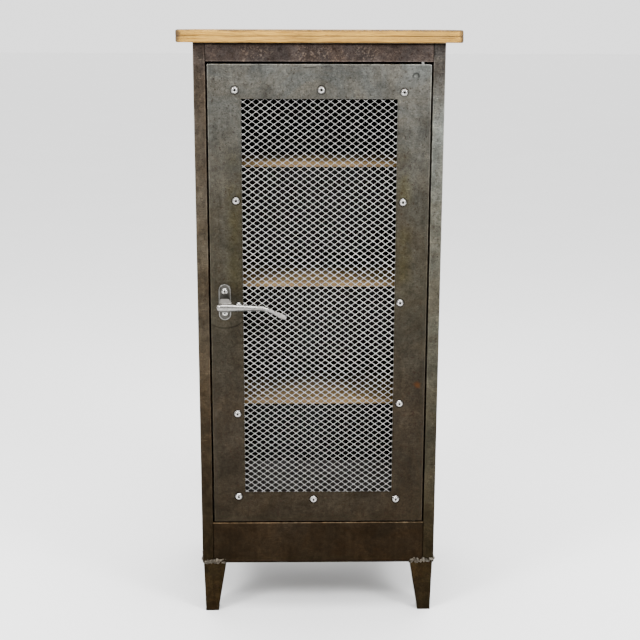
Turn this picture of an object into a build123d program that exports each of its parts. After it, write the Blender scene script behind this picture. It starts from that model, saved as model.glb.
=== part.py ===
from build123d import *
import os

# Steel locker cabinet with a wooden top, tapered legs and one mesh door.
# Millimetres, +Z up, the front faces -Y, +X is to the right seen from the front.
# The origin is on the floor at the centre of the overall footprint.

# ---- driving dimensions: carcass ----
body_width = 506.0
body_depth = 400.0
leg_height = 115.5
body_height = 1113.0
sheet = 1.5
bend_radius = 2.5

stile_width = 24.0
stile_depth = 30.0
top_rail_height = 37.5
bottom_rail_height = 93.0
rail_depth = 26.0
rail_lip = 12.0
rear_post_size = 20.0
rivet_count = 6
rivet_diameter = 4.0
rivet_end_distance = 45.0
rivet_head_diameter = 9.0
rivet_head_height = 1.6
rivet_tail = 2.5
rivet_dimple = 1.5

# ---- driving dimensions: wooden top ----
board_thickness = 12.5
top_side_overhang = 32.0
top_front_overhang = 26.0
top_back_overhang = 6.0
board_corner_radius = 9.0
board_edge_radius = 2.5
board_seam_radius = 0.8
top_screw_spacing = 190.0
top_screw_inset = 70.0

# ---- driving dimensions: door ----
side_gap = 3.5
top_gap = 4.5
bottom_gap = 3.0
door_depth = 18.0
window_width = 316.0
window_top = 1117.5
window_bottom = 279.0
pivot_inset = 17.5
pivot_diameter = 8.0
pivot_engagement = 16.0
bush_diameter = 14.0
bush_length = 20.0
running_clearance = 0.05
touch_clearance = 0.3
pin_chamfer = 1.0
window_corner_radius = 2.0
door_fold_radius = 2.0
stop_tab_heights = (400.0, 1000.0)
stop_tab_length = 30.0
stop_tab_reach = 14.5
stop_tab_gap = 0.8

# ---- driving dimensions: mesh panel and its fixings ----
diamond_width = 35.36
diamond_height = 26.0
strand_width = 3.6
mesh_thickness = 1.6
mesh_margin = 23.0
clamp_width = 24.0
clamp_thickness = 2.0
screw_diameter = 8.0
screw_head_diameter = 14.5
screw_head_height = 4.2
screw_length = 14.0
screw_socket = 5.0
screw_socket_depth = 0.6
screw_dome = 0.85
screw_hole_radius = 4.5
nut_width = 13.0
nut_height = 6.5

# The holes round the window were drilled by hand, so the rows don't quite line up.
screw_points = [
    (-170.5, 1135.0), (4.0, 1135.5), (171.0, 1131.0),
    (-170.5, 911.5), (-167.5, 691.5), (-172.5, 456.0), (-172.0, 269.5),
    (172.0, 908.5), (169.5, 697.5), (172.0, 478.0), (167.5, 262.0),
    (-10.5, 262.5),
]

# ---- driving dimensions: handle and latch ----
handle_x = -196.0
handle_z = 700.0
plate_width = 26.0
plate_length = 77.0
plate_thickness = 3.0
plate_rim = 2.6
plate_recess = 0.8
plate_screw_spacing = 46.0
plate_screw_diameter = 6.0
plate_screw_head = 12.6
plate_screw_head_height = 3.4
plate_screw_socket = 4.0
plate_screw_tail = 7.0
plate_nut_width = 10.0
plate_nut_height = 5.0
plate_chamfer = 1.2
spindle_diameter = 12.0
spindle_end_diameter = 8.0
spindle_bush_diameter = 20.0
spindle_bush_length = 12.0
lever_standoff = 48.0
hub_half_depth = 8.5
# stations along the arm: distance from the spindle axis, drop, half height, half depth
lever_stations = [
    (-13.0, 2.2, 4.6, 4.0),
    (-9.5, 2.0, 7.3, 7.0),
    (0.0, 2.0, 8.1, hub_half_depth),
    (14.0, 2.0, 7.6, 7.4),
    (29.0, 2.1, 6.8, 6.5),
    (60.0, 2.7, 5.6, 5.7),
    (80.0, 3.7, 4.9, 5.0),
    (92.0, 6.8, 4.5, 4.4),
    (103.0, 12.2, 4.7, 3.8),
    (112.0, 17.0, 5.6, 3.3),
    (121.0, 21.0, 5.7, 2.9),
    (128.5, 23.6, 4.3, 2.2),
]
neck_height = 15.0
neck_back_width = 20.5
neck_front_width = 29.5
neck_front_shift = 5.3
neck_corner_radius = 2.0
spindle_socket = 14.0
hexagon_sides = 6
tongue_reach = 31.0
tongue_tail = 10.0
tongue_width = 18.0
tongue_thickness = 3.0
tongue_front = 31.0
tongue_corner_radius = 3.0
tongue_nut_width = 13.0
tongue_nut_height = 5.0

# ---- driving dimensions: shelves, legs, small fixings ----
shelf_tops = {"upper": 988.0, "middle": 735.0, "lower": 477.0}
shelf_thickness = 11.0
shelf_setback = 40.0
shelf_clearance = 0.5
shelf_edge_radius = 1.5
shelf_notch_clearance = 1.0
shelf_screw_inset = 40.0
runner_size = 15.0
runner_front_inset = 6.5
runner_back_gap = 4.0
wood_screw_diameter = 4.0
wood_screw_head = 8.0
wood_screw_bite = 8.0
wood_screw_head_height = 2.4
wood_screw_socket = 2.4
leg_top_width = 50.0
leg_foot_width = 28.5
leg_inset_top = 2.0
leg_inset_foot = 4.8
leg_sheet = 2.0
leg_corner_radius = 3.0
leg_inner_radius = 1.5
foot_cap_thickness = 3.0
foot_cap_lip = 0.4
weld_lump_radius = 7.0
weld_lump_rise = 3.0
weld_lump_pitch = 8.4
weld_lump_wander = (-1.2, 1.6)
weld_front_lumps = 6
weld_side_lumps = 5
weld_height = 7.0
weld_corner_inset = 4.0
weld_side_inset = 2.0

# ---- worked out from the driving dimensions ----
half_width = body_width / 2
body_bottom = leg_height
body_top = leg_height + body_height
handle_front = lever_standoff + hub_half_depth
front_y = (handle_front - body_depth - top_back_overhang) / 2
back_y = front_y + body_depth
side_inner = half_width - sheet
back_inner_y = back_y - sheet

stile_inner = half_width - stile_width
sill_z = body_bottom + bottom_rail_height
lintel_z = body_top - top_rail_height
frame_bottom = body_bottom + sheet
frame_top = body_top - sheet
frame_height = frame_top - frame_bottom
door_half = stile_inner - side_gap
door_bottom = sill_z + bottom_gap
door_top = lintel_z - top_gap
door_height = door_top - door_bottom
door_mid_z = (door_top + door_bottom) / 2
pivot_x = door_half - pivot_inset
pivot_y = front_y + door_depth / 2
window_height = window_top - window_bottom
window_mid_z = (window_top + window_bottom) / 2
door_inner_y = front_y + sheet
mesh_back_y = door_inner_y + mesh_thickness
clamp_back_y = mesh_back_y + clamp_thickness
lever_y = front_y - lever_standoff

LOW = (Align.CENTER, Align.CENTER, Align.MIN)
HIGH = (Align.CENTER, Align.CENTER, Align.MAX)

os.makedirs("parts", exist_ok=True)


def save(builder, name):
    builder.part.label = name
    export_step(builder.part, f"parts/{name}.step")


def facing_front(x, y, z):
    """A plane at a point, its normal pointing out of the cabinet's front."""
    return Plane(origin=(x, y, z), x_dir=(1, 0, 0), z_dir=(0, -1, 0))


def facing_back(x, y, z):
    """A plane at a point, its normal pointing out of the cabinet's back."""
    return Plane(origin=(x, y, z), x_dir=(-1, 0, 0), z_dir=(0, 1, 0))


def folded_strip(points, plane, length):
    """Sheet folded along a line, its thickness on the line's left, as one solid."""
    with BuildPart() as strip:
        with BuildSketch(plane):
            with BuildLine():
                FilletPolyline(*points, radius=bend_radius)
                offset(amount=sheet, side=Side.LEFT)
            make_face()
        extrude(amount=length)
    return strip


def block(low, high):
    """A plain rectangular piece between two corners."""
    size = [high[i] - low[i] for i in range(3)]
    with BuildPart() as piece:
        with Locations(tuple(low)):
            Box(*size, align=(Align.MIN, Align.MIN, Align.MIN))
    return piece


def round_head_screw(head_diameter, head_height, diameter, length, socket_width):
    """A domed screw: the head stands above Z = 0 and the shank hangs below it."""
    with BuildPart() as screw:
        Cylinder(head_diameter / 2, head_height, align=LOW)
        fillet(screw.faces().sort_by(Axis.Z)[-1].edges(), head_height * screw_dome)
        Cylinder(diameter / 2, length, align=HIGH)
        with BuildSketch(Plane.XY.offset(head_height)):
            RegularPolygon(socket_width / 2, hexagon_sides, major_radius=False)
        extrude(amount=-head_height * screw_socket_depth, mode=Mode.SUBTRACT)
    return screw


def nut(width, height, bore):
    """A hexagon nut that stands on Z = 0."""
    with BuildPart() as piece:
        with BuildSketch():
            RegularPolygon(width / 2, hexagon_sides, major_radius=False)
            Circle(bore / 2, mode=Mode.SUBTRACT)
        extrude(amount=height)
    return piece


def copies(piece, planes):
    """The same piece on each of the given planes, as separate solids."""
    with BuildPart() as group:
        with Locations(*planes):
            add(piece.part)
    return group


# ---- carcass: folded stiles and rails ----
stile_spans = (("left", -half_width, -stile_inner), ("right", stile_inner, half_width))
for side, low_x, high_x in stile_spans:
    stile = folded_strip(
        [(low_x, front_y + stile_depth), (low_x, front_y),
         (high_x, front_y), (high_x, front_y + stile_depth)],
        Plane.XY.offset(frame_bottom), frame_height)
    save(stile, f"{side}_stile")

rail_plane = Plane.YZ.offset(-stile_inner)
rail_back_y = front_y + rail_depth
pivot_hole = (pivot_x, pivot_y)

top_rail_sheet = folded_strip(
    [(rail_back_y, frame_top), (front_y, frame_top), (front_y, lintel_z),
     (rail_back_y, lintel_z), (rail_back_y, lintel_z + rail_lip)],
    rail_plane, 2 * stile_inner)
with BuildPart() as top_rail:
    add(top_rail_sheet.part)
    with Locations((*pivot_hole, lintel_z)):
        Cylinder(pivot_diameter / 2, 2 * bend_radius, mode=Mode.SUBTRACT)
save(top_rail, "top_rail")

bottom_rail_sheet = folded_strip(
    [(rail_back_y, sill_z - rail_lip), (rail_back_y, sill_z), (front_y, sill_z),
     (front_y, frame_bottom), (rail_back_y, frame_bottom)],
    rail_plane, 2 * stile_inner)
with BuildPart() as bottom_rail:
    add(bottom_rail_sheet.part)
    with Locations((*pivot_hole, sill_z)):
        Cylinder(pivot_diameter / 2, 2 * bend_radius, mode=Mode.SUBTRACT)
save(bottom_rail, "bottom_rail")

# ---- carcass: side, back, base, floor and top sheets ----
stile_back_y = front_y + stile_depth
save(block((-half_width, stile_back_y, frame_bottom), (-side_inner, back_y, frame_top)),
     "left_side_panel")
save(block((side_inner, stile_back_y, frame_bottom), (half_width, back_y, frame_top)),
     "right_side_panel")

rivet_x = side_inner - rear_post_size / 2
rivet_spacing = (frame_height - 2 * rivet_end_distance) / (rivet_count - 1)
rivet_zs = [frame_bottom + rivet_end_distance + i * rivet_spacing for i in range(rivet_count)]
rivet_planes = [facing_back(x, back_y, z) for x in (-rivet_x, rivet_x) for z in rivet_zs]
with BuildPart() as back_panel:
    with Locations((0, back_y, frame_bottom)):
        Box(2 * side_inner, sheet, frame_height, align=(Align.CENTER, Align.MAX, Align.MIN))
    with Locations(*rivet_planes):
        Cylinder(rivet_diameter / 2, 4 * sheet, mode=Mode.SUBTRACT)
save(back_panel, "back_panel")

for side, sign in (("left", -1), ("right", 1)):
    outer_x = sign * side_inner
    inner_x = sign * (side_inner - rear_post_size)
    near_y = back_inner_y - rear_post_size
    corner = [(inner_x, back_inner_y), (outer_x, back_inner_y), (outer_x, near_y)]
    if side == "right":
        corner.reverse()
    angle = folded_strip(corner, Plane.XY.offset(frame_bottom), frame_height)
    with BuildPart() as rear_post:
        add(angle.part)
        with Locations(*rivet_planes):
            Cylinder(rivet_diameter / 2, 6 * sheet, mode=Mode.SUBTRACT)
    save(rear_post, f"{side}_rear_post")

rivet_head = round_head_screw(rivet_head_diameter, rivet_head_height, rivet_diameter,
                              2 * sheet + rivet_tail, rivet_dimple)
save(copies(rivet_head, rivet_planes), "back_rivets")

with BuildPart() as base_panel:
    with BuildSketch(Plane.XY.offset(body_bottom)):
        with Locations((0, front_y + body_depth / 2)):
            Rectangle(body_width, body_depth)
    extrude(amount=sheet)
    fillet(base_panel.edges().filter_by(Axis.Z).group_by(Axis.Y)[0], bend_radius)
save(base_panel, "base_panel")

floor_front_y = stile_back_y + touch_clearance
with BuildPart() as floor_panel:
    with BuildSketch(Plane.XY.offset(sill_z - sheet)):
        with Locations((0, floor_front_y)):
            Rectangle(2 * side_inner, back_inner_y - floor_front_y, align=(Align.CENTER, Align.MIN))
        with Locations((-side_inner, back_inner_y), (side_inner, back_inner_y)):
            Rectangle(2 * rear_post_size, 2 * rear_post_size, mode=Mode.SUBTRACT)
        with Locations((0, floor_front_y)):
            Rectangle(2 * stile_inner, floor_front_y - rail_back_y,
                      align=(Align.CENTER, Align.MAX))
    extrude(amount=sheet)
save(floor_panel, "floor_panel")

top_screw_xs = (-top_screw_spacing, 0.0, top_screw_spacing)
top_screw_ys = (front_y + top_screw_inset, back_y - top_screw_inset)
top_screw_points = [(x, y) for x in top_screw_xs for y in top_screw_ys]
with BuildPart() as top_panel:
    with BuildSketch(Plane.XY.offset(body_top)):
        with Locations((0, front_y + body_depth / 2)):
            Rectangle(body_width, body_depth)
        with Locations(*top_screw_points):
            Circle(wood_screw_diameter / 2, mode=Mode.SUBTRACT)
    extrude(amount=-sheet)
    fillet(top_panel.edges().filter_by(Axis.Z).filter_by(GeomType.LINE).group_by(Axis.Y)[0],
           bend_radius)
save(top_panel, "top_panel")

# ---- wooden top: two layers, screwed on from below ----
board_front_y = front_y - top_front_overhang
board_depth = body_depth + top_front_overhang + top_back_overhang
board_width = body_width + 2 * top_side_overhang
board_layers = (
    ("lower", body_top, board_edge_radius, board_seam_radius),
    ("upper", body_top + board_thickness, board_seam_radius, board_edge_radius),
)
for layer, board_z, under_radius, over_radius in board_layers:
    with BuildPart() as top_board:
        with BuildSketch(Plane.XY.offset(board_z)):
            with Locations((0, board_front_y)):
                Rectangle(board_width, board_depth, align=(Align.CENTER, Align.MIN))
        extrude(amount=board_thickness)
        fillet(top_board.edges().filter_by(Axis.Z), board_corner_radius)
        fillet(top_board.faces().sort_by(Axis.Z)[0].edges(), under_radius)
        fillet(top_board.faces().sort_by(Axis.Z)[-1].edges(), over_radius)
        if layer == "lower":
            with Locations(*[(x, y, board_z) for x, y in top_screw_points]):
                Cylinder(wood_screw_diameter / 2, 2 * wood_screw_bite, mode=Mode.SUBTRACT)
    save(top_board, f"top_board_{layer}")

wood_screw = round_head_screw(wood_screw_head, wood_screw_head_height, wood_screw_diameter,
                              sheet + wood_screw_bite, wood_screw_socket)
top_screw_planes = [Plane(origin=(x, y, frame_top), z_dir=(0, 0, -1)) for x, y in top_screw_points]
save(copies(wood_screw, top_screw_planes), "top_screws")

# ---- shelves on angle runners ----
shelf_front_y = front_y + shelf_setback
shelf_depth = back_inner_y - shelf_clearance - shelf_front_y
runner_back_y = back_inner_y - rear_post_size - runner_back_gap
runner_length = runner_back_y - shelf_front_y - runner_front_inset
shelf_notch = 2 * (rear_post_size + shelf_notch_clearance)
shelf_screw_x = side_inner - (runner_size + sheet) / 2
shelf_screw_ys = (shelf_front_y + shelf_screw_inset, runner_back_y - shelf_screw_inset)
shelf_screw_points = [(x, y) for x in (-shelf_screw_x, shelf_screw_x) for y in shelf_screw_ys]
shelf_screw_planes = []

for level, shelf_top in shelf_tops.items():
    shelf_bottom = shelf_top - shelf_thickness
    with BuildPart() as shelf:
        with BuildSketch(Plane.XY.offset(shelf_bottom)):
            with Locations((0, shelf_front_y)):
                Rectangle(2 * (side_inner - shelf_clearance), shelf_depth,
                          align=(Align.CENTER, Align.MIN))
            with Locations((-side_inner, back_inner_y), (side_inner, back_inner_y)):
                Rectangle(shelf_notch, shelf_notch, mode=Mode.SUBTRACT)
        extrude(amount=shelf_thickness)
        front_edges = shelf.faces().sort_by(Axis.Y)[0].edges().filter_by(Axis.X)
        fillet(front_edges, shelf_edge_radius)
        with Locations(*[(x, y, shelf_bottom) for x, y in shelf_screw_points]):
            Cylinder(wood_screw_diameter / 2, 2 * wood_screw_bite, mode=Mode.SUBTRACT)
    save(shelf, f"shelf_{level}")

    for side, sign in (("left", -1), ("right", 1)):
        corner = [(sign * (side_inner - runner_size), shelf_bottom),
                  (sign * side_inner, shelf_bottom),
                  (sign * side_inner, shelf_bottom - runner_size)]
        if side == "right":
            corner.reverse()
        angle = folded_strip(corner, facing_front(0, runner_back_y, 0), runner_length)
        with BuildPart() as runner:
            add(angle.part)
            with Locations(*[(x, y, shelf_bottom) for x, y in shelf_screw_points]):
                Cylinder(wood_screw_diameter / 2, 4 * sheet, mode=Mode.SUBTRACT)
        save(runner, f"runner_{level}_{side}")

    shelf_screw_planes += [Plane(origin=(x, y, shelf_bottom - sheet), z_dir=(0, 0, -1))
                           for x, y in shelf_screw_points]

save(copies(wood_screw, shelf_screw_planes), "shelf_screws")

# ---- tapered box legs with a cap under each foot and a lumpy weld at the top ----
def tapered_core(corner_x, corner_y, wall, corner_radius):
    """The solid taper of a leg, less the wall thickness all round."""
    sign_x = -1 if corner_x > 0 else 1
    sign_y = -1 if corner_y > front_y else 1
    with BuildPart() as core:
        for z, width, inset in ((foot_cap_thickness, leg_foot_width, leg_inset_foot),
                                (body_bottom, leg_top_width, leg_inset_top)):
            side_length = width - 2 * wall
            from_corner = inset + width / 2
            with BuildSketch(Plane.XY.offset(z)):
                with Locations((corner_x + sign_x * from_corner, corner_y + sign_y * from_corner)):
                    RectangleRounded(side_length, side_length, corner_radius)
        loft()
    return core


leg_corners = {
    "front_left": (-half_width, front_y),
    "front_right": (half_width, front_y),
    "rear_left": (-half_width, back_y),
    "rear_right": (half_width, back_y),
}
foot_centres = []
for corner_name, (corner_x, corner_y) in leg_corners.items():
    outer = tapered_core(corner_x, corner_y, 0, leg_corner_radius)
    inner = tapered_core(corner_x, corner_y, leg_sheet, leg_inner_radius)
    with BuildPart() as leg:
        add(outer.part)
        add(inner.part, mode=Mode.SUBTRACT)
    save(leg, f"{corner_name}_leg")
    foot_box = outer.part.faces().sort_by(Axis.Z)[0].bounding_box()
    foot_centres.append((foot_box.center().X, foot_box.center().Y, 0))

foot_cap_width = leg_foot_width + 2 * foot_cap_lip
with BuildPart() as foot_caps:
    with BuildSketch():
        with Locations(*foot_centres):
            RectangleRounded(foot_cap_width, foot_cap_width, leg_corner_radius)
    extrude(amount=foot_cap_thickness)
save(foot_caps, "foot_caps")


def weld_row(start, step, count, keep_plane):
    """A row of overlapping domes that stand on a face: the cap of each sphere is kept."""
    depth_below = weld_lump_radius - weld_lump_rise
    inward = keep_plane.z_dir * -depth_below
    with BuildPart() as row:
        for i in range(count):
            rise = weld_lump_wander[i % 2]
            centre = Vector(*start) + Vector(*step) * i + inward + Vector(0, 0, rise)
            with Locations(centre):
                Sphere(weld_lump_radius)
        split(bisect_by=keep_plane, keep=Keep.TOP)
    return row


weld_z = body_bottom + weld_height
weld_inset = leg_inset_top + weld_corner_inset
front_face = facing_front(0, front_y, 0)
back_face = facing_back(0, back_y, 0)
with BuildPart() as leg_weld_beads:
    for sign in (-1, 1):
        start_x = sign * (half_width - weld_inset)
        step = (-sign * weld_lump_pitch, 0, 0)
        add(weld_row((start_x, front_y, weld_z), step, weld_front_lumps, front_face).part)
        add(weld_row((start_x, back_y, weld_z), step, weld_front_lumps, back_face).part)
        side_face = Plane(origin=(sign * half_width, 0, 0), z_dir=(sign, 0, 0))
        for edge_y, direction in ((front_y, 1), (back_y, -1)):
            start_y = edge_y + direction * (weld_inset + weld_side_inset)
            start = (sign * half_width, start_y, weld_z)
            side_step = (0, direction * weld_lump_pitch, 0)
            add(weld_row(start, side_step, weld_side_lumps, side_face).part)
save(leg_weld_beads, "leg_weld_beads")

# ---- door pivots on the carcass side ----
with BuildPart() as upper_pivot_pin:
    with Locations((*pivot_hole, door_top - pivot_engagement)):
        Cylinder(pivot_diameter / 2, pivot_engagement + top_gap + rail_lip, align=LOW)
    chamfer(upper_pivot_pin.faces().sort_by(Axis.Z)[0].edges(), pin_chamfer)
save(upper_pivot_pin, "upper_pivot_pin")

with BuildPart() as lower_pivot_pin:
    with Locations((*pivot_hole, door_bottom + pivot_engagement)):
        Cylinder(pivot_diameter / 2, pivot_engagement + bottom_gap + rail_lip, align=HIGH)
    chamfer(lower_pivot_pin.faces().sort_by(Axis.Z)[-1].edges(), pin_chamfer)
save(lower_pivot_pin, "lower_pivot_pin")

with BuildPart() as thrust_washer:
    with BuildSketch(Plane.XY.offset(sill_z)):
        with Locations(pivot_hole):
            Circle(bush_diameter / 2)
            Circle(pivot_diameter / 2, mode=Mode.SUBTRACT)
    extrude(amount=bottom_gap - touch_clearance)
save(thrust_washer, "thrust_washer")

tab_y = front_y + door_depth + stop_tab_gap
with BuildPart() as door_stop_tabs:
    for tab_z in stop_tab_heights:
        tab = folded_strip([(-stile_inner, stile_back_y), (-stile_inner, tab_y),
                            (-stile_inner + stop_tab_reach, tab_y)],
                           Plane.XY.offset(tab_z), stop_tab_length)
        add(tab.part)
save(door_stop_tabs, "door_stop_tabs")

# ---- door: one folded pan with a window ----
spindle_hole_radius = spindle_diameter / 2 + running_clearance
pivot_hole_radius = pivot_diameter / 2 + running_clearance
plate_screw_zs = (handle_z - plate_screw_spacing / 2, handle_z + plate_screw_spacing / 2)
plate_screw_points = [(handle_x, z) for z in plate_screw_zs]

with BuildPart() as door_panel:
    with BuildSketch(facing_front(0, front_y + door_depth, door_mid_z)):
        Rectangle(2 * door_half, door_height)
    extrude(amount=door_depth)
    fillet(door_panel.edges().filter_by(Axis.Y), bend_radius)
    fillet(door_panel.faces().sort_by(Axis.Y)[0].edges(), door_fold_radius)
    offset(amount=-sheet, openings=door_panel.faces().sort_by(Axis.Y)[-1])
    with BuildSketch(facing_front(0, front_y, window_mid_z)):
        RectangleRounded(window_width, window_height, window_corner_radius)
    extrude(amount=-2 * sheet, mode=Mode.SUBTRACT)
    with Locations(*[facing_front(x, front_y, z) for x, z in screw_points]):
        Cylinder(screw_hole_radius, 4 * sheet, mode=Mode.SUBTRACT)
    with Locations(*[facing_front(x, front_y, z) for x, z in plate_screw_points]):
        Cylinder(plate_screw_diameter / 2, 4 * sheet, mode=Mode.SUBTRACT)
    with Locations(facing_front(handle_x, front_y, handle_z)):
        Cylinder(spindle_hole_radius, 4 * sheet, mode=Mode.SUBTRACT)
    with Locations((*pivot_hole, door_top), (*pivot_hole, door_bottom)):
        Cylinder(pivot_hole_radius, 4 * sheet, mode=Mode.SUBTRACT)
save(door_panel, "door_panel")

for end, bush_z in (("upper", door_top - sheet - bush_length), ("lower", door_bottom + sheet)):
    with BuildPart() as pivot_bush:
        with BuildSketch(Plane.XY.offset(bush_z)):
            with Locations(pivot_hole):
                Circle(bush_diameter / 2)
                Circle(pivot_hole_radius, mode=Mode.SUBTRACT)
        extrude(amount=bush_length)
    save(pivot_bush, f"{end}_pivot_bush")

# ---- door: expanded mesh, clamp bars and their screws ----
def mesh_opening(x, z, half_width, half_height):
    """One diamond in the panel's own plane. Past the window's sides only its inner half is cut."""
    corners = [(x, z - half_height), (x + half_width, z), (x, z + half_height),
               (x - half_width, z)]
    if x > window_width / 2:
        corners.pop(1)
    if x < -window_width / 2:
        corners.pop(3)
    return Wire.make_polygon(corners, close=True)


mesh_width = window_width + 2 * mesh_margin
mesh_height = window_height + 2 * mesh_margin
slope_length = (diamond_width ** 2 + diamond_height ** 2) ** 0.5
opening_scale = 1 - strand_width * slope_length / (diamond_width * diamond_height)
half_opening = (diamond_width * opening_scale / 2, diamond_height * opening_scale / 2)
last_row = int(window_height / diamond_height)
last_column = int(window_width / diamond_width) + 2
openings = []
for row in range(-last_row, last_row + 1):
    for column in range(-last_column, last_column + 1):
        x = column * diamond_width / 2
        z = row * diamond_height / 2
        if (row + column) % 2 == 0 and abs(x) < window_width / 2 + strand_width:
            openings.append(mesh_opening(x, z, *half_opening))
outline = Wire.make_rect(mesh_width, mesh_height)

with BuildPart() as door_mesh:
    with BuildSketch(facing_front(0, mesh_back_y, window_mid_z)):
        add(Face(outline, openings))
    extrude(amount=mesh_thickness)
    with Locations(*[facing_front(x, mesh_back_y, z) for x, z in screw_points]):
        Cylinder(screw_hole_radius, 4 * mesh_thickness, mode=Mode.SUBTRACT)
save(door_mesh, "door_mesh")

clamp_length = window_height + 2 * clamp_width
clamp_x = window_width / 2 + clamp_width / 2
clamp_top_z = window_top + clamp_width / 2
clamp_bottom_z = window_bottom - clamp_width / 2
clamps = {
    "left": (-clamp_x, window_mid_z, clamp_width, clamp_length),
    "right": (clamp_x, window_mid_z, clamp_width, clamp_length),
    "top": (0, clamp_top_z, window_width, clamp_width),
    "bottom": (0, clamp_bottom_z, window_width, clamp_width),
}
for place, (x, z, width, height) in clamps.items():
    with BuildPart() as clamp_bar:
        with BuildSketch(facing_front(x, clamp_back_y, z)):
            Rectangle(width, height)
        extrude(amount=clamp_thickness)
        with Locations(*[facing_front(px, clamp_back_y, pz) for px, pz in screw_points]):
            Cylinder(screw_hole_radius, 4 * clamp_thickness, mode=Mode.SUBTRACT)
    save(clamp_bar, f"{place}_clamp_bar")

mesh_screw = round_head_screw(screw_head_diameter, screw_head_height, screw_diameter,
                              screw_length, screw_socket)
save(copies(mesh_screw, [facing_front(x, front_y, z) for x, z in screw_points]), "mesh_screws")
mesh_nut = nut(nut_width, nut_height, screw_diameter)
save(copies(mesh_nut, [facing_back(x, clamp_back_y, z) for x, z in screw_points]), "mesh_nuts")

# ---- handle plate with its screws, nuts and bush ----
plate_front_y = front_y - plate_thickness
plate_floor_y = plate_front_y + plate_recess
with BuildPart() as handle_plate:
    with BuildSketch(facing_front(handle_x, front_y, handle_z)):
        SlotOverall(plate_length, plate_width, rotation=90)
    extrude(amount=plate_thickness)
    chamfer(handle_plate.faces().sort_by(Axis.Y)[0].edges(), plate_chamfer)
    with BuildSketch(facing_front(handle_x, plate_front_y, handle_z)):
        SlotOverall(plate_length - 2 * plate_rim, plate_width - 2 * plate_rim, rotation=90)
    extrude(amount=-plate_recess, mode=Mode.SUBTRACT)
    with Locations(*[facing_front(x, front_y, z) for x, z in plate_screw_points]):
        Cylinder(plate_screw_diameter / 2, 4 * plate_thickness, mode=Mode.SUBTRACT)
    with Locations(facing_front(handle_x, front_y, handle_z)):
        Cylinder(spindle_hole_radius, 4 * plate_thickness, mode=Mode.SUBTRACT)
save(handle_plate, "handle_plate")

plate_screw_length = door_inner_y - plate_floor_y + plate_screw_tail
plate_screw = round_head_screw(plate_screw_head, plate_screw_head_height,
                               plate_screw_diameter, plate_screw_length, plate_screw_socket)
save(copies(plate_screw, [facing_front(x, plate_floor_y, z) for x, z in plate_screw_points]),
     "handle_plate_screws")
plate_nut = nut(plate_nut_width, plate_nut_height, plate_screw_diameter)
save(copies(plate_nut, [facing_back(x, door_inner_y, z) for x, z in plate_screw_points]),
     "handle_plate_nuts")

with BuildPart() as spindle_bush:
    with BuildSketch(facing_back(handle_x, door_inner_y, handle_z)):
        Circle(spindle_bush_diameter / 2)
        Circle(spindle_hole_radius, mode=Mode.SUBTRACT)
    extrude(amount=spindle_bush_length)
save(spindle_bush, "spindle_bush")

# ---- lever handle: squared neck, round hub, arm that ends in a drooping paddle ----
neck_y = plate_front_y - touch_clearance
with BuildPart() as lever_body:
    for reach, drop, half_height, half_depth in lever_stations:
        section = Plane(origin=(handle_x + reach, lever_y, handle_z - drop),
                        x_dir=(0, 1, 0), z_dir=(1, 0, 0))
        with BuildSketch(section):
            Ellipse(half_depth, half_height)
    loft()

with BuildPart() as lever_neck:
    with BuildSketch(facing_front(handle_x, neck_y, handle_z)):
        RectangleRounded(neck_back_width, neck_height, neck_corner_radius)
    with BuildSketch(facing_front(handle_x + neck_front_shift, lever_y, handle_z)):
        RectangleRounded(neck_front_width, neck_height, neck_corner_radius)
    loft()

with BuildPart() as lever_handle:
    add(lever_body.part)
    add(lever_neck.part)
    with BuildSketch(facing_back(handle_x, neck_y, handle_z)):
        Circle(spindle_diameter / 2)
    extrude(amount=-spindle_socket, mode=Mode.SUBTRACT)
save(lever_handle, "lever_handle")

tongue_y = front_y + tongue_front
with BuildPart() as spindle:
    with BuildSketch(facing_back(handle_x, neck_y - spindle_socket, handle_z)):
        Circle(spindle_diameter / 2)
    extrude(amount=tongue_y - neck_y + spindle_socket)
    with BuildSketch(facing_back(handle_x, tongue_y, handle_z)):
        Circle(spindle_end_diameter / 2)
    extrude(amount=tongue_thickness + tongue_nut_height)
save(spindle, "spindle")

with BuildPart() as latch_tongue:
    with BuildSketch(facing_front(handle_x, tongue_y + tongue_thickness, handle_z)):
        with Locations((tongue_tail, 0)):
            Rectangle(tongue_reach + tongue_tail, tongue_width, align=(Align.MAX, Align.CENTER))
        Circle(spindle_end_diameter / 2, mode=Mode.SUBTRACT)
    extrude(amount=tongue_thickness)
    fillet(latch_tongue.edges().filter_by(Axis.Y).filter_by(GeomType.LINE), tongue_corner_radius)
save(latch_tongue, "latch_tongue")

tongue_nut = nut(tongue_nut_width, tongue_nut_height, spindle_end_diameter)
tongue_nut_plane = facing_back(handle_x, tongue_y + tongue_thickness, handle_z)
save(copies(tongue_nut, [tongue_nut_plane]), "tongue_nut")
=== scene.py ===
import math
import random

import bpy
from mathutils import Matrix, Vector, noise


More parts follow.
